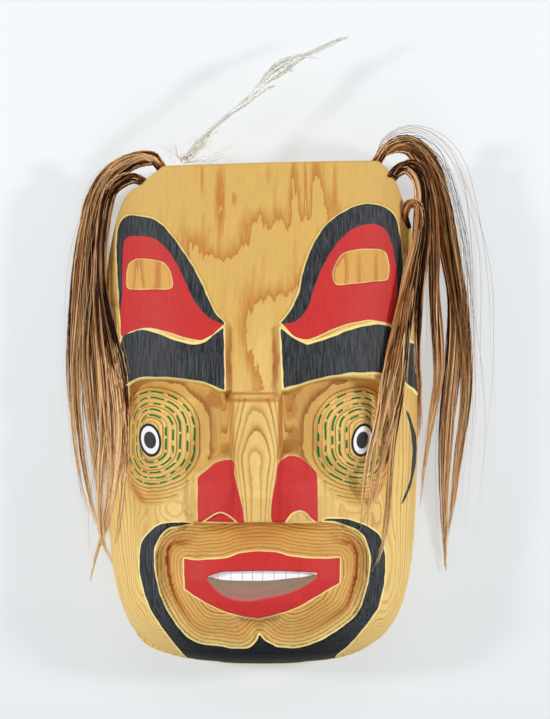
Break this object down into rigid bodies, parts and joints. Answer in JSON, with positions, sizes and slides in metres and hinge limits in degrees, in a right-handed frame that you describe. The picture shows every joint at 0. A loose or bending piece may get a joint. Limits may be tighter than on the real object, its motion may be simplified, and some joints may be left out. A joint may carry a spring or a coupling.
{
  "type": "carved wooden face mask",
  "caption": "Carved and painted wooden face mask, hollow behind, with long horsehair locks at its upper corners and a feather on top.",
  "frame": {"origin": "on the plane that the mask lies on, under the middle of its whole box", "axes": "+Z out of the face, +Y from the chin to the forehead, +X to the right as one looks at the face"},
  "size_m": [0.2622, 0.4066, 0.1025],
  "materials": {
    "wood": "satin",
    "horsehair": "satin",
    "feather": "matte"
  },
  "bodies": {
    "root": {"mask_body": "wood", "hair_left_upper": "horsehair", "hair_left_lower": "horsehair", "hair_right_upper": "horsehair", "hair_right_middle": "horsehair", "hair_right_lower": "horsehair", "feather": "feather"}
  },
  "joints": []
}
